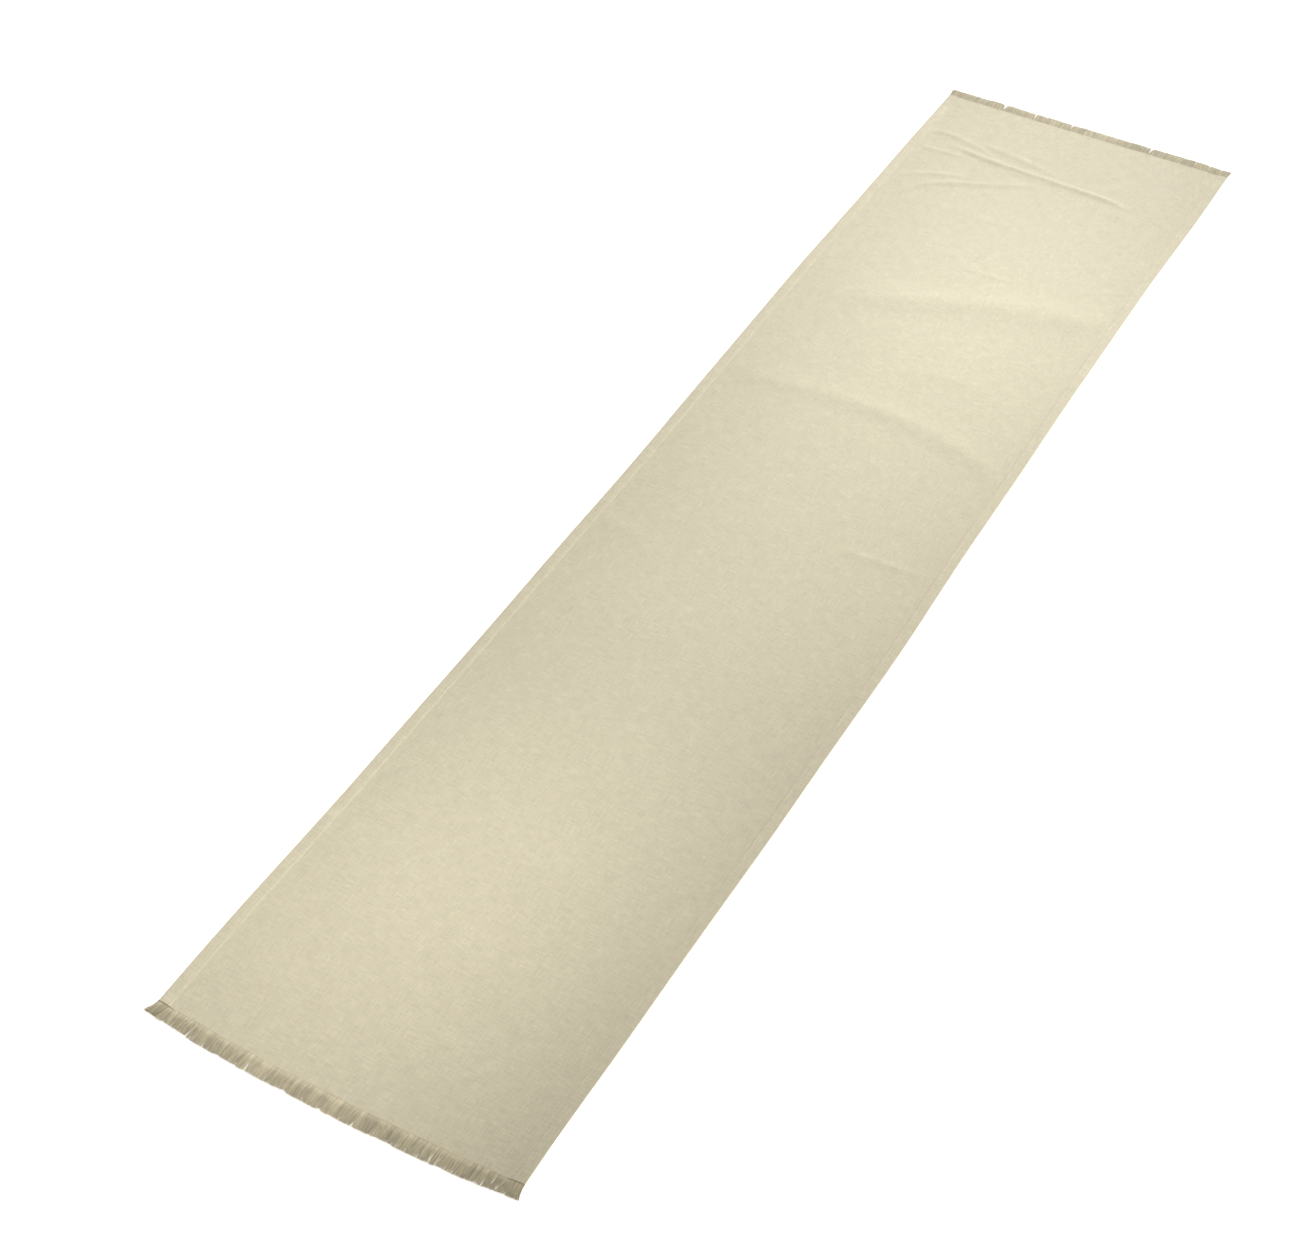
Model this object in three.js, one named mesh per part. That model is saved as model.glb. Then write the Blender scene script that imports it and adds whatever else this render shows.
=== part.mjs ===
// A woven table runner: one length of cloth with a stitched double hem along each side and a cut
// fringe at each end, lying flat and open. It folds in half across its middle.
//
// Millimetres. +X runs from the near end to the far end, +Y to the left when facing that way, and
// +Z up. The origin is the middle of the runner, on the surface it lies on.

import * as THREE from "three";

// Overall sizes
const runnerLength = 1800; // fringe tip to fringe tip
const runnerWidth = 400; // over both hems

// Cloth and hems
const clothThickness = 0.8;
const hemWidth = 12; // outer fold to inner fold of the turned layers
const hemLayers = 3; // the face cloth and two turned layers
const hemPressing = 0.2; // what the iron takes off the three layers together
const hemRampWidth = 1.6; // where the face cloth climbs onto the turned layers

// Stitching
const threadWidth = 0.4;
const threadHeight = 0.35;
const seamInset = 2.4; // inner fold of a hem to its line of stitching
const endSeamInset = 1; // outer edge of the runner to the ends of the stay stitching

// Fringe
const fringeLength = 20;
const tuftsBetweenHems = 11;
const locksPerTuft = 4;
const locksPerHemTuft = 2;
const lockRoot = 3; // length of the unparted root of a tuft
const lockTip = 5; // length over which a lock closes to its tip
const lockParting = 0.5; // gap between two neighbouring locks
const lockTrim = 1.6; // the most that a lock falls short of the longest

// Clearances
const pieceGap = 0.3; // between pieces that touch on the real runner
const foldClearance = 1; // from the top of a hem up to the axis of the half fold

// What follows from them
const hemThickness = hemLayers * clothThickness - hemPressing;
const seamChannel = threadWidth + 2 * pieceGap; // room for a seam and its clearance
const grooveDepth = threadHeight + pieceGap;
const fringeRoot = runnerLength / 2 - fringeLength;
const clothEnd = fringeRoot - seamChannel;
const endSeamPlace = fringeRoot - seamChannel / 2;
const hemSeamPlace = hemWidth - seamInset; // from the outer edge
const clothEdge = runnerWidth / 2 - hemWidth - hemRampWidth - pieceGap;
const foldAxisHeight = hemThickness + foldClearance;

const clothFinish = new THREE.MeshStandardMaterial({ color: 0xd6ceb0, roughness: 0.92, metalness: 0 });
const hemFinish = new THREE.MeshStandardMaterial({ color: 0xd1c8a9, roughness: 0.92, metalness: 0 });
const threadFinish = new THREE.MeshStandardMaterial({ color: 0xddd6bb, roughness: 0.7, metalness: 0 });
const fringeFinish = new THREE.MeshStandardMaterial({ color: 0xa69c7c, roughness: 0.95, metalness: 0 });

// The two halves of the runner on either side of the half fold
const halves = [
  { name: "near", start: -clothEnd, finish: -pieceGap / 2, outward: -1 },
  { name: "far", start: pieceGap / 2, finish: clothEnd, outward: 1 },
];

// The two sides: +Y is the left
const sides = [
  { name: "left", across: 1 },
  { name: "right", across: -1 },
];

function named(name, geometry, material) {
  const mesh = new THREE.Mesh(geometry, material);
  mesh.name = name;
  return mesh;
}

/** Draws a section along +X: the section's x is the place across, its y the height. */
function drawnAlongX(name, section, start, finish, material) {
  const geometry = new THREE.ExtrudeGeometry(section, {
    depth: finish - start,
    bevelEnabled: false,
    curveSegments: 6,
  });
  const mesh = named(name, geometry, material);
  mesh.rotation.set(Math.PI / 2, 0, Math.PI / 2, "ZYX");
  mesh.position.x = start;
  return mesh;
}

/** Draws a section along +Y: the section's x is the place along the runner, its y the height. */
function drawnAlongY(name, section, start, finish, material) {
  const geometry = new THREE.ExtrudeGeometry(section, {
    depth: finish - start,
    bevelEnabled: false,
    curveSegments: 6,
  });
  const mesh = named(name, geometry, material);
  mesh.rotation.x = Math.PI / 2;
  mesh.position.y = finish;
  return mesh;
}

/** The flat cloth of one half, between the ramps of its two hems. */
function clothPanel(half) {
  const length = half.finish - half.start;
  const panel = named(
    `${half.name}_cloth`,
    new THREE.BoxGeometry(length, 2 * clothEdge, clothThickness),
    clothFinish
  );
  panel.position.set((half.start + half.finish) / 2, 0, clothThickness / 2);
  return panel;
}

/**
 * A hem's section: a soft fold at the outer edge, three layers thick, with a shallow groove above
 * and below where the seam draws the layers in, and a ramp down to the single cloth.
 */
function hemSection(across) {
  const edge = runnerWidth / 2;
  const place = (inward) => across * (edge - inward);
  const seamStart = hemSeamPlace - seamChannel / 2;
  const seamFinish = hemSeamPlace + seamChannel / 2;
  const foldRadius = hemThickness / 2;
  const section = new THREE.Shape();
  section.moveTo(place(foldRadius), 0);
  section.lineTo(place(seamStart), 0);
  section.lineTo(place(seamStart), grooveDepth);
  section.lineTo(place(seamFinish), grooveDepth);
  section.lineTo(place(seamFinish), 0);
  section.lineTo(place(hemWidth + hemRampWidth), 0);
  section.lineTo(place(hemWidth + hemRampWidth), clothThickness);
  section.lineTo(place(hemWidth), hemThickness);
  section.lineTo(place(seamFinish), hemThickness);
  section.lineTo(place(seamFinish), hemThickness - grooveDepth);
  section.lineTo(place(seamStart), hemThickness - grooveDepth);
  section.lineTo(place(seamStart), hemThickness);
  section.lineTo(place(foldRadius), hemThickness);
  section.quadraticCurveTo(place(0), hemThickness, place(0), foldRadius);
  section.quadraticCurveTo(place(0), 0, place(foldRadius), 0);
  return section;
}

function sideHem(half, side) {
  const name = `${half.name}_hem_${side.name}`;
  return drawnAlongX(name, hemSection(side.across), half.start, half.finish, hemFinish);
}

/** The round section of a sewing thread that rests at a height. */
function threadSection(place, height) {
  const section = new THREE.Shape();
  const middle = height + threadHeight / 2;
  section.absellipse(place, middle, threadWidth / 2, threadHeight / 2, 0, 2 * Math.PI, false, 0);
  return section;
}

/** The needle thread on the face and the bobbin thread underneath, along one hem. */
function hemThreads(half, side) {
  const place = side.across * (runnerWidth / 2 - hemSeamPlace);
  const heights = { needle: hemThickness - threadHeight, bobbin: 0 };
  return Object.entries(heights).map(([thread, height]) =>
    drawnAlongX(
      `${half.name}_hem_${side.name}_${thread}_thread`,
      threadSection(place, height),
      half.start,
      half.finish,
      threadFinish
    )
  );
}

/** The stay stitching across one end, which holds the last weft yarn above the fringe. */
function endThreads(half) {
  const place = half.outward * endSeamPlace;
  const reach = runnerWidth / 2 - endSeamInset;
  const heights = { needle: threadHeight + pieceGap, bobbin: 0 };
  return Object.entries(heights).map(([thread, height]) =>
    drawnAlongY(
      `${half.name}_end_${thread}_thread`,
      threadSection(place, height),
      -reach,
      reach,
      threadFinish
    )
  );
}

/** Seen from above, a tuft of fringe: an unparted root and a row of locks that close to tips. */
function tuftOutline(start, finish, locks, firstLock) {
  const lockWidth = (finish - start) / locks;
  const outline = new THREE.Shape();
  outline.moveTo(0, start);
  for (let lock = 0; lock < locks; lock += 1) {
    const trim = (lockTrim * (1 - Math.cos(2.4 * (firstLock + lock)))) / 2;
    const tip = fringeLength - trim;
    const low = start + lock * lockWidth + (lock > 0 ? lockParting / 2 : 0);
    const high = start + (lock + 1) * lockWidth - (lock < locks - 1 ? lockParting / 2 : 0);
    const middle = (low + high) / 2;
    outline.lineTo(lock > 0 ? lockRoot : 0, low);
    outline.lineTo(tip - lockTip, low);
    outline.quadraticCurveTo(tip, low, tip, middle);
    outline.quadraticCurveTo(tip, high, tip - lockTip, high);
    outline.lineTo(lock < locks - 1 ? lockRoot : 0, high);
  }
  return outline;
}

/** The widths of the tufts along one end: one below each hem and the rest between them. */
function tuftSpans() {
  const edge = runnerWidth / 2;
  const pitch = (runnerWidth - 2 * hemWidth) / tuftsBetweenHems;
  const spans = [{ start: -edge, finish: -edge + hemWidth - pieceGap / 2, locks: locksPerHemTuft }];
  for (let tuft = 0; tuft < tuftsBetweenHems; tuft += 1) {
    const start = -edge + hemWidth + tuft * pitch + pieceGap / 2;
    spans.push({ start, finish: start + pitch - pieceGap, locks: locksPerTuft });
  }
  spans.push({ start: edge - hemWidth + pieceGap / 2, finish: edge, locks: locksPerHemTuft });
  return spans;
}

/** One tuft of warp yarns, flat on the surface. Tufts are counted from the right side. */
function tuft(half, span, number) {
  const outline = tuftOutline(span.start, span.finish, span.locks, number * locksPerTuft);
  const geometry = new THREE.ExtrudeGeometry(outline, {
    depth: clothThickness,
    bevelEnabled: false,
    curveSegments: 3,
  });
  const mesh = named(
    `${half.name}_fringe_tuft_${String(number + 1).padStart(2, "0")}`,
    geometry,
    fringeFinish
  );
  mesh.position.x = fringeRoot;
  return mesh;
}

/** A row of tufts, built for the far end. The near end's row is turned half round. */
function fringe(half) {
  const row = new THREE.Group();
  const spans = tuftSpans();
  spans.forEach((span, place) => {
    const number = half.outward > 0 ? place : spans.length - 1 - place;
    row.add(tuft(half, span, number));
  });
  row.rotation.z = half.outward > 0 ? 0 : Math.PI;
  return row;
}

const runner = new THREE.Group();
for (const half of halves) {
  const body = new THREE.Group();
  body.add(clothPanel(half));
  for (const side of sides) {
    body.add(sideHem(half, side), ...hemThreads(half, side));
  }
  body.add(...endThreads(half), fringe(half));
  runner.add(body);
}

// The half fold turns the far half up and over, about a line across the runner at this height
runner.userData.halfFold = { axis: [0, -1, 0], point: [0, 0, foldAxisHeight] };

export default runner;
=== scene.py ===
import math

import bpy
import numpy as np
from mathutils import Matrix, Vector


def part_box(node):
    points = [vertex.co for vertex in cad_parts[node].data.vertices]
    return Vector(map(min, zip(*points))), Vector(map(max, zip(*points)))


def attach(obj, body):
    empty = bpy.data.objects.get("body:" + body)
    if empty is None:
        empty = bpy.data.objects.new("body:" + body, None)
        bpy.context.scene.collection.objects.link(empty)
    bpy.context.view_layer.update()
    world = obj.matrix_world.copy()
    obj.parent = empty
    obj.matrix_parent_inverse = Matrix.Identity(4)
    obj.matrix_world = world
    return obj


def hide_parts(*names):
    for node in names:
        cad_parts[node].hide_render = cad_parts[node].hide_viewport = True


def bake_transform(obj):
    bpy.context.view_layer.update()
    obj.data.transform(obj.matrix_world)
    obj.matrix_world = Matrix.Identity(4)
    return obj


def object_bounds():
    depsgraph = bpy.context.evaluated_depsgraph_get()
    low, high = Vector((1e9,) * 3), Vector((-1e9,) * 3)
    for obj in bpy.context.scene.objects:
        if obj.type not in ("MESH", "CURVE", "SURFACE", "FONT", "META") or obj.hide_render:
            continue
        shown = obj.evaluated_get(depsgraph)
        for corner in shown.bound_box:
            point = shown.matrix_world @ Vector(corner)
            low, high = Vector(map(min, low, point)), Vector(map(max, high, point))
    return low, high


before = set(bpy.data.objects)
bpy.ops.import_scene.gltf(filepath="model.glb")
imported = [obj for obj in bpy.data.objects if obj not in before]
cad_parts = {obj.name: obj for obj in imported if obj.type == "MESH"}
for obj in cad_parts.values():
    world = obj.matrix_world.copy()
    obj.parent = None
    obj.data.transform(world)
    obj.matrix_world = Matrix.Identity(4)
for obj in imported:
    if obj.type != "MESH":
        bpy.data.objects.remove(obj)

# A woven table runner, lying open on a pale table: cloth with a double-turned hem along each side,
# lockstitched seams, stay stitching across the ends and a cut fringe of loose warp yarns.
# Metres. +X runs along the runner to the far end, +Y across it to the left, +Z up.

MM = 0.001
cad_low, cad_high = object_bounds()

# Sizes and places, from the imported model
END = cad_high.x
EDGE = cad_high.y
FRINGE_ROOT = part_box("far_fringe_tuft_02")[0].x
FRINGE_LENGTH = END - FRINGE_ROOT
FIELD_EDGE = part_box("far_cloth")[1].y
HEM_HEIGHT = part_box("far_hem_left")[1].z
HEM_SEAM = sum(corner.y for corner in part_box("far_hem_left_needle_thread")) / 2
END_SEAM = sum(corner.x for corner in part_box("far_end_needle_thread")) / 2
TUFTS = 13

# The cloth
CLOTH = 0.7 * MM  # thickness between the hollows of the weave
CLOTH_END = FRINGE_ROOT + 0.4 * MM
YARN_PITCH = 0.84 * MM
STITCH_PITCH = 3 * MM
STITCH_LENGTH = 2.75 * MM

random = np.random.default_rng(41)


def smooth(low, high, value):
    """0 below low, 1 above high and an even curve between."""
    share = np.clip((value - low) / (high - low), 0, 1)
    return share * share * (3 - 2 * share)


# ---------------------------------------------------------------- how the runner lies


def wrinkle(s, t, line, height, width, fade=30 * MM):
    """A pinched wrinkle across the cloth. line holds (along, across) points in millimetres, from
    one end to the other; the wrinkle follows a smooth curve through them and dies away at its ends."""
    along, across = np.array(line, float).T * MM
    curve = np.polynomial.Polynomial.fit(across, along, min(4, len(line) - 1))
    middle = curve(np.clip(t, across.min() - fade, across.max() + fade))
    ends = smooth(across.min() - fade, across.min() + fade, t)
    ends = ends * (1 - smooth(across.max() - fade, across.max() + fade, t))
    return ends * height / np.cosh(np.clip((s - middle) / width, -30, 30)) ** 2


WRINKLES = [
    # near the far end: two long pinched wrinkles side by side, and the shorter ones that run into them
    dict(line=[(792, 184), (793, 150), (787, 122), (778, 94)],
         height=1.6 * MM, width=5.2 * MM, fade=14 * MM),
    dict(line=[(770, 130), (765, 92), (760, 50), (760, 0), (757, -60), (753, -104)],
         height=2.6 * MM, width=4.8 * MM, fade=20 * MM),
    dict(line=[(752, 62), (752, -8)], height=0.9 * MM, width=7 * MM, fade=20 * MM),
    dict(line=[(793, 104), (789, 72), (785, 46), (777, 4)],
         height=1.7 * MM, width=6.5 * MM, fade=20 * MM),
    dict(line=[(803, 60), (801, 20)], height=0.6 * MM, width=6 * MM, fade=20 * MM),
    dict(line=[(655, 152), (672, 137), (695, 99), (710, 65), (736, 15)],
         height=2.0 * MM, width=5 * MM, fade=22 * MM),
    dict(line=[(668, 140), (688, 112)], height=0.9 * MM, width=6 * MM, fade=12 * MM),
    dict(line=[(683, 168), (702, 132), (712, 96)], height=1.3 * MM, width=4.5 * MM, fade=14 * MM),
    dict(line=[(750, 176), (754, 128)], height=1.5 * MM, width=4.5 * MM, fade=14 * MM),
    dict(line=[(640, 110), (638, 0)], height=0.45 * MM, width=7 * MM),
    dict(line=[(734, -60), (730, -130)], height=0.5 * MM, width=9 * MM, fade=20 * MM),
    # the slanting fold, and the soft ones between it and the middle
    dict(line=[(406, 122), (436, 50), (457, 0), (478, -60), (493, -110), (503, -172)],
         height=3.4 * MM, width=25 * MM, fade=50 * MM),
    dict(line=[(366, 150), (372, 60)], height=0.7 * MM, width=12 * MM, fade=30 * MM),
    dict(line=[(532, 20), (532, -42)], height=0.8 * MM, width=3.8 * MM, fade=14 * MM),
    dict(line=[(318, -30), (320, -105)], height=0.8 * MM, width=8 * MM, fade=20 * MM),
    dict(line=[(212, 150), (218, 96), (225, 30), (221, -60), (192, -165)],
         height=1.5 * MM, width=15 * MM, fade=40 * MM),
    dict(line=[(-11, -76), (-9, -120), (-7, -170)], height=0.62 * MM, width=6.5 * MM, fade=25 * MM),
    dict(line=[(-61, 132), (-60, 92)], height=0.45 * MM, width=6 * MM, fade=20 * MM),
    dict(line=[(-100, 182), (-104, 120)], height=0.75 * MM, width=9 * MM, fade=25 * MM),
    dict(line=[(-121, 118), (-128, 70)], height=0.4 * MM, width=9 * MM, fade=25 * MM),
]

# Pressed lines from storage, where the runner was folded in eighths: (place along, height), in
# millimetres
STORAGE_CREASES = [
    (-675, 0.15), (-450, 0.15), (-225, 0.2), (-8, 0.2), (222, 0.2), (450, 0.2), (675, 0.25),
]
CREASE_WIDTH = 8 * MM
CREASE_WANDER = 3 * MM

# Random unevenness, from broad to fine: (distance between bumps, height, seed)
CRUMPLES = [(60 * MM, 0.6 * MM, 5), (25 * MM, 0.24 * MM, 6), (13 * MM, 0.07 * MM, 7)]

SWELL = 0.3 * MM  # long gentle waves
HEM_CALM = 0.65  # share of the unevenness that the stiff hems press out
CORNER_LIFT = 1.25 * MM  # how far the right side stands up next to its near corner
NEAR_BOW = 6.5 * MM  # how much further in the near corners lie than the middle of that end
FAR_STRETCH = 2.6 * MM  # how far the cloth next to the far fringe is pulled out


def unevenness(s, t, cell, seed):
    """A smooth random surface between 0 and 1 whose bumps are about one cell across."""
    heights = np.random.default_rng(seed).random((int(2.2 / cell), int(0.6 / cell) + 2))
    along, across = (s + 1.05) / cell, (t + 0.28) / cell
    row, column = np.floor(along).astype(int), np.floor(across).astype(int)
    rest_s, rest_t = smooth(0, 1, along - row), smooth(0, 1, across - column)
    first = heights[row, column] * (1 - rest_t) + heights[row, column + 1] * rest_t
    second = heights[row + 1, column] * (1 - rest_t) + heights[row + 1, column + 1] * rest_t
    return first * (1 - rest_s) + second * rest_s


def rise(s, t):
    """How high the underside of the cloth is above the table."""
    s, t = np.broadcast_arrays(s, t)
    swell = SWELL * (1 + np.sin(9.1 * s + 3.7 * t + 0.6))
    for cell, height, seed in CRUMPLES:
        swell = swell + height * unevenness(s, t, cell, seed)
    for place, height in STORAGE_CREASES:
        wander = place * MM + CREASE_WANDER * np.sin(17 * t + place)
        breadth = 0.55 + 0.45 * np.cos(11 * t + place)
        swell = swell + height * MM * breadth / np.cosh((s - wander) / CREASE_WIDTH) ** 2
    for one in WRINKLES:
        swell = swell + wrinkle(s, t, **one)
    swell = swell * (1 - HEM_CALM * smooth(EDGE - 34 * MM, EDGE - 15 * MM, np.abs(t)))
    corner = (1 - smooth(-0.62, -0.42, s)) * smooth(-0.895, -0.84, s)
    return swell + CORNER_LIFT * corner * smooth(EDGE - 70 * MM, EDGE - 12 * MM, -t)


def lay(s, t, height):
    """The place of a point of the runner: s along the flat cloth, t across it, and height above the
    underside of the cloth. The near end is bowed, and each side wanders a little, in long, middling
    and short waves."""
    share = t / EDGE
    bow = NEAR_BOW * np.abs(share) ** 2.2 * (1 - smooth(-0.9, -0.62, s))
    left = -3.6 + 2.5 * np.sin(4.2 * s - 0.7)
    left = left + 0.6 * np.sin(10.5 * s - 2.25) + 0.3 * np.sin(21 * s - 1.45)
    right = -1.2 + 2.4 * np.sin(4.8 * s - 0.5)
    right = right + 0.4 * np.sin(14 * s + 0.5) + 0.4 * np.sin(21 * s + 0.9)
    sway = np.where(share > 0, left, right) * MM * share**2
    stretch = FAR_STRETCH * smooth(0.80, 0.879, s) * (1 - smooth(0.881, 0.897, s))
    return s + bow + stretch, t + sway, rise(s, t) + height


# ---------------------------------------------------------------- making pieces


def clear_selection():
    bpy.ops.object.select_all(action="DESELECT")


def newly_made(name):
    piece = bpy.context.active_object
    piece.name = piece.data.name = name
    return piece


def apply_modifier(piece, kind, **settings):
    clear_selection()
    piece.select_set(True)
    bpy.context.view_layer.objects.active = piece
    modifier = piece.modifiers.new(kind.title(), kind)
    for setting, value in settings.items():
        setattr(modifier, setting, value)
    bpy.ops.object.modifier_apply(modifier=modifier.name)


def shade(piece, angle=50):
    clear_selection()
    piece.select_set(True)
    bpy.context.view_layer.objects.active = piece
    bpy.ops.object.shade_smooth_by_angle(angle=math.radians(angle))


def vertex_places(mesh):
    places = np.empty(len(mesh.vertices) * 3)
    mesh.vertices.foreach_get("co", places)
    return places.reshape(-1, 3)


def set_flat_map(mesh, flat):
    """Gives every corner its place on the flat cloth, in metres, halved and centred in the map."""
    layer = mesh.uv_layers.active or mesh.uv_layers.new()
    layer.name = "flat_cloth"
    corner = np.empty(len(mesh.loops), np.int32)
    mesh.loops.foreach_get("vertex_index", corner)
    layer.data.foreach_set("uv", (flat[corner] / 2 + 0.5).astype(np.float32).ravel())


def stations(*stretches):
    """Places along the runner, from stretches of (start, finish, step) that follow one another."""
    places = [np.linspace(low, high, max(2, round((high - low) / step) + 1))[:-1]
              for low, high, step in stretches]
    return np.append(np.concatenate(places), stretches[-1][1])


# Closest where the runner folds in half, at the slanting fold and at the pinched wrinkles
ALONG = stations(
    (-CLOTH_END, -0.860, 4 * MM),
    (-0.860, -0.010, 5.5 * MM),
    (-0.010, 0.012, 1 * MM),
    (0.012, 0.380, 5 * MM),
    (0.380, 0.540, 2.8 * MM),
    (0.540, 0.640, 4 * MM),
    (0.640, 0.820, 1.5 * MM),
    (0.820, CLOTH_END, 4 * MM),
)


def woven_sheet(name, across, place, flat_across=None):
    """A sheet of cloth over the stations along the runner: a grid whose rows across are placed by
    place(s, t, row number), then given the cloth's thickness."""
    rows = len(across)
    clear_selection()
    bpy.ops.mesh.primitive_grid_add(x_subdivisions=len(ALONG) - 1, y_subdivisions=rows - 1, size=2)
    sheet = newly_made(name)
    grid = vertex_places(sheet.data)
    column = np.rint((grid[:, 0] + 1) / 2 * (len(ALONG) - 1)).astype(int)
    row = np.rint((grid[:, 1] + 1) / 2 * (rows - 1)).astype(int)
    s, t = ALONG[column], np.asarray(across)[row]
    sheet.data.vertices.foreach_set("co", np.stack(place(s, t, row), 1).ravel())
    flat = t if flat_across is None else np.asarray(flat_across)[row]
    set_flat_map(sheet.data, np.stack([s, flat], 1))
    sheet.data.update()
    apply_modifier(sheet, "SOLIDIFY", thickness=CLOTH, offset=0, use_even_offset=True)
    shade(sheet)
    return sheet


def copies(name, pattern, turns, tones=None):
    """One piece made of copies of a pattern. turns(places) gives, for the pattern's own vertices,
    an array of places with one row of vertices for each copy. tones are from 0, dark, to 1, pale."""
    mesh = pattern.data
    corners = [list(face.vertices) for face in mesh.polygons]
    places = turns(vertex_places(mesh))
    many, count = places.shape[:2]
    faces = [[one + copy * count for one in face] for copy in range(many) for face in corners]
    made = bpy.data.meshes.new(name)
    made.from_pydata(places.reshape(-1, 3).tolist(), [], faces)
    for layer in mesh.uv_layers:
        uv = np.empty(len(mesh.loops) * 2)
        layer.data.foreach_get("uv", uv)
        made.uv_layers.new(name=layer.name).data.foreach_set("uv", np.tile(uv, many).astype(np.float32))
    tones = random.random(many) if tones is None else tones
    shade_of = made.attributes.new("yarn_tone", "FLOAT", "POINT")
    shade_of.data.foreach_set("value", np.repeat(tones, count).astype(np.float32))
    piece = bpy.data.objects.new(name, made)
    bpy.context.scene.collection.objects.link(piece)
    shade(piece, 75)
    return piece


def yarn_pattern(name, length, radius, cuts, sides, taper):
    """A short length of round yarn along +X from the origin, with closed, tapered tips."""
    clear_selection()
    bpy.ops.mesh.primitive_cylinder_add(
        vertices=sides, radius=radius, depth=length, end_fill_type="TRIFAN",
        location=(length / 2, 0, 0), rotation=(0, math.pi / 2, 0),
    )
    yarn = newly_made(name)
    bpy.ops.object.transform_apply(location=True, rotation=True, scale=True)
    bpy.ops.object.mode_set(mode="EDIT")
    bpy.ops.mesh.select_mode(type="EDGE")
    bpy.ops.mesh.select_all(action="DESELECT")
    bpy.ops.object.mode_set(mode="OBJECT")
    for edge in yarn.data.edges:
        one, two = (yarn.data.vertices[end].co for end in edge.vertices)
        edge.select = abs(one.x - two.x) > length / 2
    bpy.ops.object.mode_set(mode="EDIT")
    bpy.ops.mesh.subdivide(number_cuts=cuts)
    bpy.ops.object.mode_set(mode="OBJECT")
    for vertex in yarn.data.vertices:
        share = vertex.co.x / length
        slim = 1 - taper * max(0, abs(2 * share - 1) - 0.5) * 2
        vertex.co.y *= slim
        vertex.co.z *= slim
    layer = yarn.data.uv_layers.active
    layer.name = "along_yarn"
    for face in yarn.data.polygons:
        facing = math.atan2(face.center.z, face.center.y)
        for loop in face.loop_indices:
            spot = yarn.data.vertices[yarn.data.loops[loop].vertex_index].co
            turn = math.remainder(math.atan2(spot.z, spot.y) - facing, 2 * math.pi) + facing
            layer.data[loop].uv = (spot.x / length, turn / (2 * math.pi) + 0.5)
    return yarn


def put_away(pattern):
    bpy.data.objects.remove(pattern)


# ---------------------------------------------------------------- the camera

CAMERA_PLACE = Vector((-1.8402, -0.8554, 1.8470))
CAMERA_TARGET = Vector((-0.2083, 0.0570, 0.0))
CAMERA_LENS = 68.07
CAMERA_ROLL = math.radians(0.42)


def make_camera():
    data = bpy.data.cameras.new("camera")
    data.lens = CAMERA_LENS
    data.sensor_width = 36
    data.clip_start, data.clip_end = 0.05, 50
    camera = bpy.data.objects.new("camera", data)
    bpy.context.scene.collection.objects.link(camera)
    looking = (CAMERA_TARGET - CAMERA_PLACE).to_track_quat("-Z", "Y").to_matrix().to_4x4()
    rolled = looking @ Matrix.Rotation(CAMERA_ROLL, 4, "Z")
    camera.matrix_world = Matrix.Translation(CAMERA_PLACE) @ rolled
    bpy.context.scene.camera = camera


make_camera()

# ---------------------------------------------------------------- the cloth and its hems


HEM_LIFT = 0.5 * MM  # how far the hem's folds hold up the cloth beside them
LIFT_START = FIELD_EDGE - 9 * MM  # where the cloth starts to rise to its hems


def make_cloth():
    """The cloth between the hems. Its sides rise a little to meet them."""
    flat_rows = np.linspace(0, LIFT_START, 41)[:-1]
    rising_rows = np.linspace(LIFT_START, FIELD_EDGE, 7)
    half = np.append(flat_rows, rising_rows)
    rows = np.concatenate([-half[:0:-1], half])

    def place(s, t, row):
        return lay(s, t, CLOTH / 2 + HEM_LIFT * smooth(LIFT_START, FIELD_EDGE, np.abs(t)))

    return woven_sheet("runner_cloth", rows, place)


def hem_path():
    """Through a hem, from the cloth round to the raw edge: (distance in from the outer fold, height)
    of the middle of the cloth, in millimetres, as it climbs, folds under, and folds under again."""
    layer = HEM_HEIGHT / MM / 3
    low, middle, high = layer / 2, layer * 1.5, layer * 2.5
    start, seam = (EDGE - FIELD_EDGE) / MM, (EDGE - HEM_SEAM) / MM
    outer, inner = layer, layer / 2
    foot, top = low + HEM_LIFT / MM, 10.5
    face_dent, back_dent, dent_width = 0.24, 0.12, 0.55
    climb = [(start + (top - start) * share, foot + (high - foot) * share**2 * (3 - 2 * share))
             for share in np.linspace(0, 1, 8)]
    face = [(seam + step, high - face_dent * math.exp(-(step / dent_width) ** 2))
            for step in (0.8, 0.4, 0, -0.4, -0.8)]
    face += [(place, high) for place in (7, 4.5, 2.6)]
    fold = [(outer * (1.15 - math.sin(turn)), middle + outer * math.cos(turn))
            for turn in np.radians(np.linspace(0, 180, 9))]
    back = [(place, low) for place in (3, 6)]
    back += [(seam + step, low + back_dent * math.exp(-(step / dent_width) ** 2))
             for step in (-0.9, -0.45, 0, 0.45, 0.9)]
    turn_in = [(10.9 + inner * math.sin(turn), (low + middle) / 2 - inner * math.cos(turn))
               for turn in np.radians(np.linspace(0, 180, 6))]
    inside = [(8, middle), (4.5, middle), (1.8, middle)]
    return np.array(climb + face + fold + back + turn_in + inside)


def make_hem(side, across):
    """One hem. Its path is drawn along the runner; the map follows the cloth round the folds."""
    path = hem_path() * MM
    steps = np.hypot(*np.diff(path, axis=0).T)
    flat = FIELD_EDGE + np.concatenate([[0], np.cumsum(steps)])
    if across < 0:
        path, flat = path[::-1], flat[::-1]
    inward, height = path.T
    return woven_sheet(
        f"hem_{side}",
        across * (EDGE - inward),
        lambda s, t, row: lay(s, t, height[row]),
        across * flat,
    )


# ---------------------------------------------------------------- stitching

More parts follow.
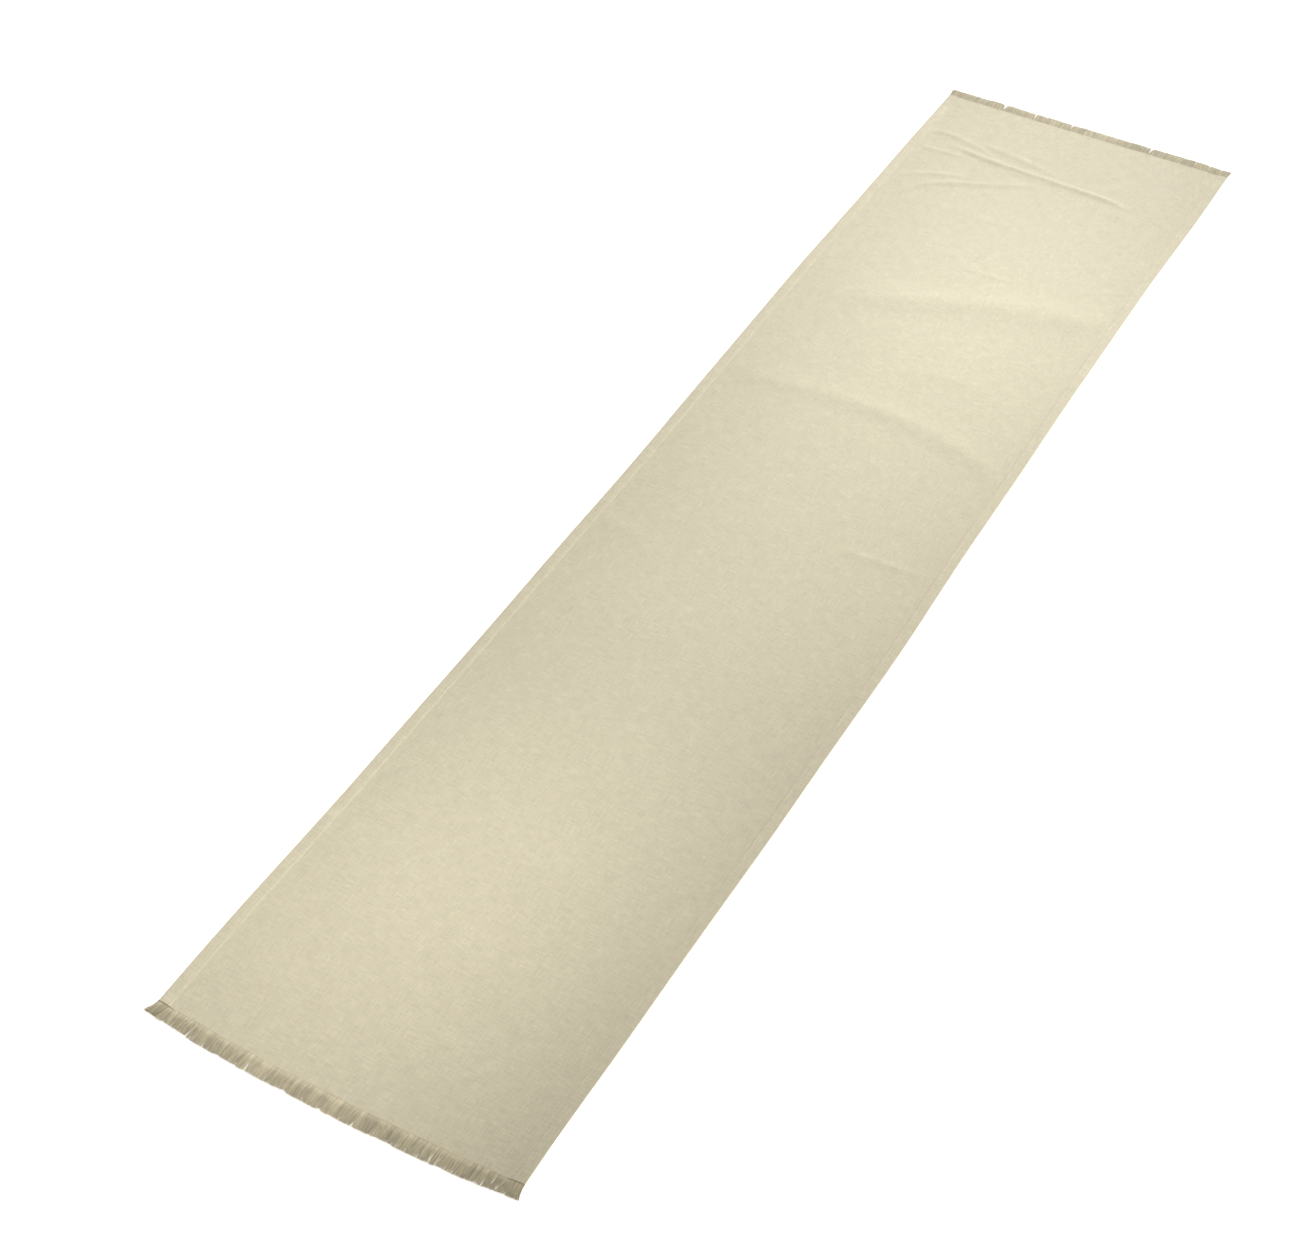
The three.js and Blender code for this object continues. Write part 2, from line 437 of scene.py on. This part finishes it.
THREAD_RADIUS = 0.19 * MM
STITCH_LEAN = 0.06  # how far each stitch slants across its seam, for its length
STITCH_SCATTER = 0.03  # the spread of that slant
DIP, HEM_DIP = 0.3 * MM, 0.35 * MM  # how far the tips of a stitch go into the cloth


def stitch_row(name, middles, along_runner, height, sag):
    """A row of stitches of one thread. middles are the places (s, t) of their middles; each stitch
    lies at a height on the cloth and dips into it at both ends by sag."""
    pattern = yarn_pattern("stitch", STITCH_LENGTH, THREAD_RADIUS, cuts=5, sides=7, taper=0.35)

    def turns(own):
        along = own[:, 0] - STITCH_LENGTH / 2
        dip = sag * (2 * along / STITCH_LENGTH) ** 4
        lean = STITCH_LEAN * along
        tilt = random.normal(0, STITCH_SCATTER, (len(middles), 1))
        first = along + 0 * tilt
        second = own[:, 1] + lean + tilt * along
        s_in, t_in = (first, second) if along_runner else (-second, first)
        s = middles[:, :1] + s_in
        t = middles[:, 1:] + t_in
        return np.stack(lay(s, t, height - dip + own[:, 2]), 2)

    made = copies(name, pattern, turns)
    put_away(pattern)
    return made


def spaced(low, high, pitch):
    count = int((high - low) / pitch)
    return low + (high - low) * (np.arange(count) + 0.5) / count


def hem_seam(side, across):
    """The two threads of one hem's lockstitch: the needle thread on the face, the bobbin's below."""
    s = spaced(-CLOTH_END, CLOTH_END, STITCH_PITCH)
    middles = np.stack([s, np.full(len(s), across * HEM_SEAM)], 1)
    face = stitch_row(f"hem_{side}_needle_stitches", middles, True, HEM_HEIGHT - 0.12 * MM, HEM_DIP)
    middles = middles + (STITCH_PITCH / 2, 0)
    back = stitch_row(f"hem_{side}_bobbin_stitches", middles[:-1], True, 0.06 * MM, -DIP)
    return face, back


def end_seam(end, outward):
    """The stay stitching across one end, just inside the fringe."""
    t = spaced(-EDGE + 2 * MM, EDGE - 2 * MM, STITCH_PITCH)
    middles = np.stack([np.full(len(t), outward * END_SEAM), t], 1)
    on_hem = smooth(FIELD_EDGE - 1 * MM, FIELD_EDGE + 3 * MM, np.abs(t))[:, None]
    top = CLOTH + on_hem * (HEM_HEIGHT - CLOTH)
    face = stitch_row(f"{end}_end_needle_stitches", middles, False, top, DIP)
    back = stitch_row(f"{end}_end_bobbin_stitches", middles, False, 0.05 * MM, -DIP)
    return face, back


# ---------------------------------------------------------------- the fringe

YARN_HELD = 1.2 * MM  # how far a loose yarn still runs inside the cloth
YARN_LENGTH = FRINGE_LENGTH + YARN_HELD
YARN_RADIUS = 0.31 * MM
LAYERS, HEM_LAYERS = 5, 7  # of yarns, one on another
LOCKS, HEM_LOCKS = 5, 2  # in a tuft
STACK, HEM_STACK = 1.15 * MM, 1.6 * MM  # from the lowest layer of yarns to the highest
ROOT_SCATTER = 0.1 * MM
LOCK_LEAN = 1.2 * MM  # of a whole lock, of every yarn, and of each loose yarn besides
YARN_LEAN = 0.4 * MM
LOOSE_LEAN = 0.9 * MM
STRAY_SHARE = 0.1  # of the yarns are strays,
STRAY_LEAN = 2.6  # which lean this many times further than the other loose ones
GAP_PUSH = 2 * MM  # how far a gap pushes its yarns aside
GAP_REACH = 4.5 * MM
YARN_TRIM = 0.6 * MM  # how unevenly the yarns, and whole locks, are cut
LOCK_TRIM = 0.9 * MM
CORNER_TRIM = 0.14  # share of the length that is missing at the near corners
BULGE = 0.5 * MM  # how far a loose yarn arches up at most
LOCK_TONE = 0.28  # how much of a yarn's tone comes from its lock


def make_tuft(end, outward, number, gaps, splay):
    """The loose warp yarns below one stretch of an end. The lower ones lie straight and close; those
    on top lean together at their tips in locks."""
    low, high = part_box(f"{end}_fringe_tuft_{number:02d}")
    start, finish = low.y, high.y
    hem_tuft = number in (1, TUFTS)
    layers = HEM_LAYERS if hem_tuft else LAYERS
    locks = HEM_LOCKS if hem_tuft else LOCKS
    count = round((finish - start) / YARN_PITCH)
    level = np.repeat(np.arange(layers), count)
    many = len(level)
    pitch = (finish - start) / count
    root = np.tile(start + pitch * (np.arange(count) + 0.25), layers) + pitch * 0.5 * (level % 2)
    root = root + random.normal(0, ROOT_SCATTER, many)
    loose = smooth(1.2, 3, level)
    parting = start + (finish - start) * np.sort(random.uniform(0.08, 0.92, locks - 1))
    edges = np.concatenate([[start], parting, [finish]])
    which = np.clip(np.searchsorted(edges, root) - 1, 0, locks - 1)
    middle = (edges[:-1] + edges[1:])[which] / 2
    gather = random.uniform(0.05, 0.3, locks)[which] * loose
    inside = smooth(0, 6 * MM, np.minimum(root - start, finish - root))
    lean = random.normal(0, LOCK_LEAN, locks)[which] * loose * inside
    lean = lean + random.normal(0, YARN_LEAN, many)
    stray = np.where(random.random(many) < STRAY_SHARE, STRAY_LEAN, 1)
    lean = lean + random.normal(0, LOOSE_LEAN, many) * loose * stray
    for gap in gaps:
        away = root - gap
        lean = lean + np.sign(away) * GAP_PUSH * np.exp(-(away / GAP_REACH) ** 2)
    short = np.abs(random.normal(0, YARN_TRIM, many))
    short = short + np.abs(random.normal(0, LOCK_TRIM, locks))[which]
    length = YARN_LENGTH * (1 - CORNER_TRIM * np.abs(root / EDGE) ** 4 * (outward < 0)) - short
    wave = random.uniform(0, 2 * math.pi, (many, 1))
    wave_size = random.uniform(0.05, 0.45, (many, 1)) * MM * (0.3 + 0.7 * loose[:, None])
    slim = random.uniform(0.82, 1.12, (many, 1))
    lift = random.uniform(0, 1, (many, 1)) * BULGE * loose[:, None]
    stack = (HEM_STACK if hem_tuft else STACK) * level / (layers - 1)
    pattern = yarn_pattern("warp_yarn", 1.0, YARN_RADIUS, cuts=7, sides=6, taper=0.4)

    def turns(own):
        share = own[:, 0][None]
        s = FRINGE_ROOT - YARN_HELD + share * length[:, None]
        t = root[:, None] + share**1.5 * (gather * (middle - root) + lean)[:, None]
        t = t + wave_size * np.sin(6 * share + wave) * share + splay(root)[:, None] * share**2
        t = t + own[:, 1] * slim
        # the layers part soon after the root, at once at a hem, and settle again towards the tips
        spread = 0.8 + 0.2 * share if hem_tuft else smooth(0.04, 0.4, share)
        settle = 1 - 0.35 * smooth(0.3, 1, share)
        height = YARN_RADIUS + 0.11 * MM * (1 - spread) + stack[:, None] * spread * settle
        height = height + lift * np.sin(math.pi * share)
        return np.stack(lay(outward * s, t, height + own[:, 2] * slim), 2)

    tones = (1 - LOCK_TONE) * random.random(many) + LOCK_TONE * random.random(locks)[which]
    made = copies(f"{end}_fringe_yarns_{number:02d}", pattern, turns, tones)
    put_away(pattern)
    return made


def near_splay(t):
    return 6 * MM * smooth(EDGE - 28 * MM, EDGE, t) - 3.5 * MM * smooth(EDGE - 14 * MM, EDGE, -t)


def far_splay(t):
    return 1.5 * MM * smooth(EDGE - 14 * MM, EDGE, np.abs(t)) * np.sign(t)


ENDS = {
    "near": dict(outward=-1, gaps=[], splay=near_splay),
    "far": dict(outward=1, gaps=[120 * MM, 74 * MM, 20 * MM, -92 * MM], splay=far_splay),
}

# ---------------------------------------------------------------- finishes


class Wire:
    """A socket's value in a material. Arithmetic on it adds the Math nodes."""

    def __init__(self, graph, socket):
        self.graph, self.socket = graph, socket

    def _math(self, operation, one, two=None):
        values = [one] if two is None else [one, two]
        return self.graph.node("ShaderNodeMath", {"operation": operation}, dict(enumerate(values)))

    def __add__(self, other):
        return self._math("ADD", self, other)

    def __sub__(self, other):
        return self._math("SUBTRACT", self, other)

    def __rsub__(self, other):
        return self._math("SUBTRACT", other, self)

    def __mul__(self, other):
        return self._math("MULTIPLY", self, other)

    def __pow__(self, other):
        return self._math("POWER", self, other)

    __radd__, __rmul__ = __add__, __mul__

    def sine(self):
        return self._math("SINE", self)

    def sign(self):
        return self._math("SIGN", self)

    def size(self):
        return self._math("ABSOLUTE", self)

    def at_least(self, other):
        return self._math("MAXIMUM", self, other)

    def step(self, low, high):
        """0 below low, 1 above high and an even curve between."""
        settings = {"interpolation_type": "SMOOTHSTEP"}
        return self.graph.node("ShaderNodeMapRange", settings, {0: self, 1: low, 2: high})


class Finish:
    """A material's nodes, made by one method."""

    def __init__(self, name, rough, sheen=0.0, sheen_rough=0.5):
        self.material = bpy.data.materials.new(name)
        self.material.use_nodes = True
        self.tree = self.material.node_tree
        self.tree.nodes.clear()
        self.shader = self.tree.nodes.new("ShaderNodeBsdfPrincipled")
        output = self.tree.nodes.new("ShaderNodeOutputMaterial")
        self.tree.links.new(self.shader.outputs[0], output.inputs[0])
        self.shader.inputs["Roughness"].default_value = rough
        self.shader.inputs["Specular IOR Level"].default_value = 0.25
        self.shader.inputs["Sheen Weight"].default_value = sheen
        self.shader.inputs["Sheen Roughness"].default_value = sheen_rough

    def node(self, kind, settings=None, inputs=None, output=0):
        """Adds a node of a type, makes its settings, then fills its inputs."""
        made = self.tree.nodes.new(kind)
        for setting, value in (settings or {}).items():
            setattr(made, setting, value)
        for place, value in (inputs or {}).items():
            self.fill(made.inputs[place], value)
        return Wire(self, made.outputs[output])

    def fill(self, socket, value):
        if isinstance(value, Wire):
            self.tree.links.new(value.socket, socket)
        else:
            socket.default_value = value

    def set(self, socket, value):
        self.fill(self.shader.inputs[socket], value)

    def mix(self, share, one, two, blend="MIX"):
        settings = {"data_type": "RGBA", "blend_type": blend}
        return self.node("ShaderNodeMix", settings, {0: share, 6: one, 7: two}, output=2)

    def vector(self, x, y, z=0.0):
        return self.node("ShaderNodeCombineXYZ", None, {0: x, 1: y, 2: z})

    def noise(self, place, scale, detail=2.0, roughness=0.5):
        inputs = {"Vector": place, "Scale": scale, "Detail": detail, "Roughness": roughness}
        return self.node("ShaderNodeTexNoise", None, inputs)

    def mapped(self, name):
        """The two numbers of the piece's own map."""
        place = self.node("ShaderNodeUVMap", {"uv_map": name})
        split = {0: place}
        return [self.node("ShaderNodeSeparateXYZ", None, split, output=axis) for axis in (0, 1)]

    def bump(self, height, distance, strength):
        self.set("Normal", self.node("ShaderNodeBump", None, {
            "Strength": strength, "Distance": distance, "Height": height}))


def colour(red, green, blue):
    return (red, green, blue, 1.0)


def tone(base, factor):
    return colour(*(part * factor for part in base))


YARN_DRIFT = 0.9 * MM  # how far the yarns wander from straight, from side to side
CRIMP = 0.55  # how strongly each yarn goes up and down over those that it crosses
ROUND = 0.6  # how round the yarns are across: less is flatter
COARSE, FINE = 60, 900  # bumps a metre of a slub, along its yarn and across it
WEFT_COLOUR = (0.765, 0.705, 0.535)
WARP_COLOUR = (0.655, 0.588, 0.405)
FRINGE_COLOUR = (0.635, 0.562, 0.392)


def woven_finish(name, painted_lightening=1.0):
    """Plain weave: round yarns that pass over and under each other, pale weft across and flax-coloured
    warp along, both with slubs and flecks, with painted shade in the hollows between the yarns. The
    last argument paints the whole cloth lighter or darker, as painted light."""
    finish = Finish(name, rough=0.9, sheen=0.12, sheen_rough=0.6)
    u, v = finish.mapped("flat_cloth")
    s, t = (u - 0.5) * 2, (v - 0.5) * 2
    # each yarn's own thick and thin places, and its small wanderings
    weft_slub = finish.noise(finish.vector(s * FINE, t * COARSE), 1.0, detail=1.5)
    warp_slub = finish.noise(finish.vector(s * COARSE, t * FINE, 7.0), 1.0, detail=1.5)
    warp_sway = finish.noise(finish.vector(s * 90, t * 420, 11.0), 1.0, detail=1.0)
    weft_sway = finish.noise(finish.vector(s * 420, t * 90, 13.0), 1.0, detail=1.0)
    warp_drift = (warp_sway - 0.5) * YARN_DRIFT
    weft_drift = (weft_sway - 0.5) * YARN_DRIFT
    warp_turn = ((t + warp_drift) * (math.pi / YARN_PITCH)).sine()
    weft_turn = ((s + weft_drift) * (math.pi / YARN_PITCH)).sine()
    # each yarn's height is the way it goes over and under, and its own round back
    warp_wave = warp_turn.sign() * weft_turn * CRIMP
    weft_wave = weft_turn.sign() * warp_turn * -CRIMP
    warp_height = warp_wave + warp_turn.size() ** ROUND * (warp_slub * 0.7 + 0.65)
    weft_height = weft_wave + weft_turn.size() ** ROUND * (weft_slub * 0.7 + 0.65)
    warp_over = (warp_height - weft_height).step(-0.06, 0.06)
    surface = warp_height.at_least(weft_height)
    weft = finish.mix(weft_slub.step(0.32, 0.68), tone(WEFT_COLOUR, 0.91), tone(WEFT_COLOUR, 1.08))
    warp = finish.mix(warp_slub.step(0.32, 0.68), tone(WARP_COLOUR, 0.91), tone(WARP_COLOUR, 1.11))
    cloth = finish.mix(warp_over, weft, warp)
    # painted shade: where the weave's surface is low, in the hollows between the yarns, the colour is
    # darkened towards a dark warp tone
    cloth = finish.mix((1 - surface.step(0.35, 1.05)) * 0.48, cloth, tone(WARP_COLOUR, 0.52))
    # short dark and light flecks in the yarn, and broad patches where it is a little greyer
    dark_fleck = finish.noise(finish.vector(s * 260, t * 330, 3.0), 1.0, detail=2.5, roughness=0.6)
    pale_fleck = finish.noise(finish.vector(s * 380, t * 240, 5.0), 1.0, detail=2.5, roughness=0.6)
    cloud = finish.noise(finish.vector(s * 55, t * 50, 9.0), 1.0, detail=4.0, roughness=0.6)
    cloth = finish.mix(dark_fleck.step(0.56, 0.72) * 0.30, cloth, tone(WARP_COLOUR, 0.74))
    cloth = finish.mix(pale_fleck.step(0.58, 0.74) * 0.36, cloth, tone(WEFT_COLOUR, 1.20))
    cloth = finish.mix(cloud.step(0.3, 0.75) * 0.20, cloth, tone(WARP_COLOUR, 0.88))
    # painted light: the cloth's whole colour is multiplied by this factor, which makes the hems' copy
    # lighter
    painted_light_tint = colour(painted_lightening, painted_lightening, painted_lightening)
    finish.set("Base Color", finish.mix(1.0, cloth, painted_light_tint, blend="MULTIPLY"))
    fibre = finish.noise(finish.vector(s * 5200, t * 5200, 2.0), 1.0, detail=2.0)
    finish.bump(surface + fibre * 0.25 + dark_fleck * 0.3, 0.25 * MM, 0.6)
    return finish.material


def yarn_finish(name, base, pale, twist_turns, contrast, ply_groove_shade):
    """Twisted yarn or thread: the ply runs round it, with painted shade in the grooves between its
    plies, and each length has its own tone.
    """
    finish = Finish(name, rough=0.85, sheen=0.15, sheen_rough=0.5)
    along, around = finish.mapped("along_yarn")
    own = finish.node("ShaderNodeAttribute", {"attribute_name": "yarn_tone"}, output=2)
    ply = ((along * twist_turns + around * 2 + own * 5) * (2 * math.pi)).sine()
    fuzz = finish.noise(finish.vector(along * 40, around * 9, own * 60), 1.0, detail=2.0)
    dull = finish.mix(own.step(0.15, 0.95), tone(base, 1 - contrast), tone(base, 1 + contrast))
    light = finish.mix(fuzz.step(0.5, 0.75) * own.step(0.5, 1.0), dull, colour(*pale))
    # painted shade: the grooves between the plies are darkened towards a darker tone of the yarn
    groove_shade = (1 - ply.step(-1.0, -0.2)) * ply_groove_shade
    finish.set("Base Color", finish.mix(groove_shade, light, tone(base, 0.6)))
    finish.bump(ply * 0.5 + fuzz, 0.12 * MM, 0.6)
    return finish.material


def wear(piece, material):
    piece.data.materials.append(material)


# ---------------------------------------------------------------- the studio


FLOOR_SIZE = 30
FLOOR_DROP = 0.4 * MM  # a little clear of the runner
FLOOR_GLOW = 0.66
BACKDROP_COLOUR = (1, 0.985, 0.95, 1)
BACKDROP_GLOW = 0.43
GRID = 34  # degrees that the grid of a softbox lets out


def pale_floor():
    clear_selection()
    bpy.ops.mesh.primitive_plane_add(size=FLOOR_SIZE, location=(0, 0, -FLOOR_DROP))
    floor = newly_made("floor")
    finish = Finish("pale_floor", rough=0.9)
    finish.set("Base Color", colour(0.9, 0.9, 0.9))
    finish.set("Emission Color", colour(1, 1, 1))
    finish.set("Emission Strength", FLOOR_GLOW)
    floor.data.materials.append(finish.material)


def soft_light(name, place, target, size, power, tint=(1, 1, 1)):
    """A round softbox with a grid, at a place and aimed at a target."""
    data = bpy.data.lights.new(name, "AREA")
    data.color = tint
    data.shape = "DISK"
    data.size = size
    data.spread = math.radians(GRID)
    data.energy = power
    light = bpy.data.objects.new(name, data)
    light.location = place
    light.rotation_euler = (Vector(target) - Vector(place)).to_track_quat("-Z", "Y").to_euler()
    bpy.context.scene.collection.objects.link(light)


def studio():
    scene = bpy.context.scene
    scene.view_settings.view_transform = "Standard"
    world = bpy.data.worlds.new("studio")
    world.use_nodes = True
    backdrop = world.node_tree.nodes["Background"]
    backdrop.inputs["Color"].default_value = BACKDROP_COLOUR
    backdrop.inputs["Strength"].default_value = BACKDROP_GLOW
    scene.world = world
    soft_light("far_softbox", (1.45, -0.23, 1.18), (0.74, 0.05, 0), 0.88, 1.80, (0.972, 1, 1.07))
    soft_light("middle_softbox", (1.17, -0.39, 0.80), (-0.40, 0.07, 0), 0.75, 2.14, (0.985, 1, 1.03))
    soft_light("near_softbox", (0.05, -0.20, 0.73), (-0.83, 0.08, 0), 0.39, 0.28)


# ---------------------------------------------------------------- put together

woven = woven_finish("woven_cloth")
# the hems wear the same weave painted 3 % lighter, as painted light
turned = woven_finish("turned_cloth", painted_lightening=1.03)
thread = yarn_finish("sewing_thread", (0.80, 0.74, 0.565), (0.86, 0.81, 0.65), 4, 0.06, 0.2)
loose_yarn = yarn_finish("loose_yarn", FRINGE_COLOUR, (0.76, 0.70, 0.53), 14, 0.24, 0.33)

cloth = make_cloth()
wear(cloth, woven)
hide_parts("near_cloth", "far_cloth")
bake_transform(cloth)

for side, across in (("left", 1), ("right", -1)):
    hem = make_hem(side, across)
    wear(hem, turned)
    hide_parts(f"near_hem_{side}", f"far_hem_{side}")
    needle, bobbin = hem_seam(side, across)
    for stitches, kind in ((needle, "needle"), (bobbin, "bobbin")):
        wear(stitches, thread)
        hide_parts(f"near_hem_{side}_{kind}_thread", f"far_hem_{side}_{kind}_thread")
    for piece in (hem, needle, bobbin):
        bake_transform(piece)

for end, shape in ENDS.items():
    body = f"{end}_half"
    for stitches, kind in zip(end_seam(end, shape["outward"]), ("needle", "bobbin")):
        wear(stitches, thread)
        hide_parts(f"{end}_end_{kind}_thread")
        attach(stitches, body)
    for number in range(1, TUFTS + 1):
        tuft = make_tuft(end, number=number, **shape)
        wear(tuft, loose_yarn)
        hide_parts(f"{end}_fringe_tuft_{number:02d}")
        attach(tuft, body)

pale_floor()
studio()
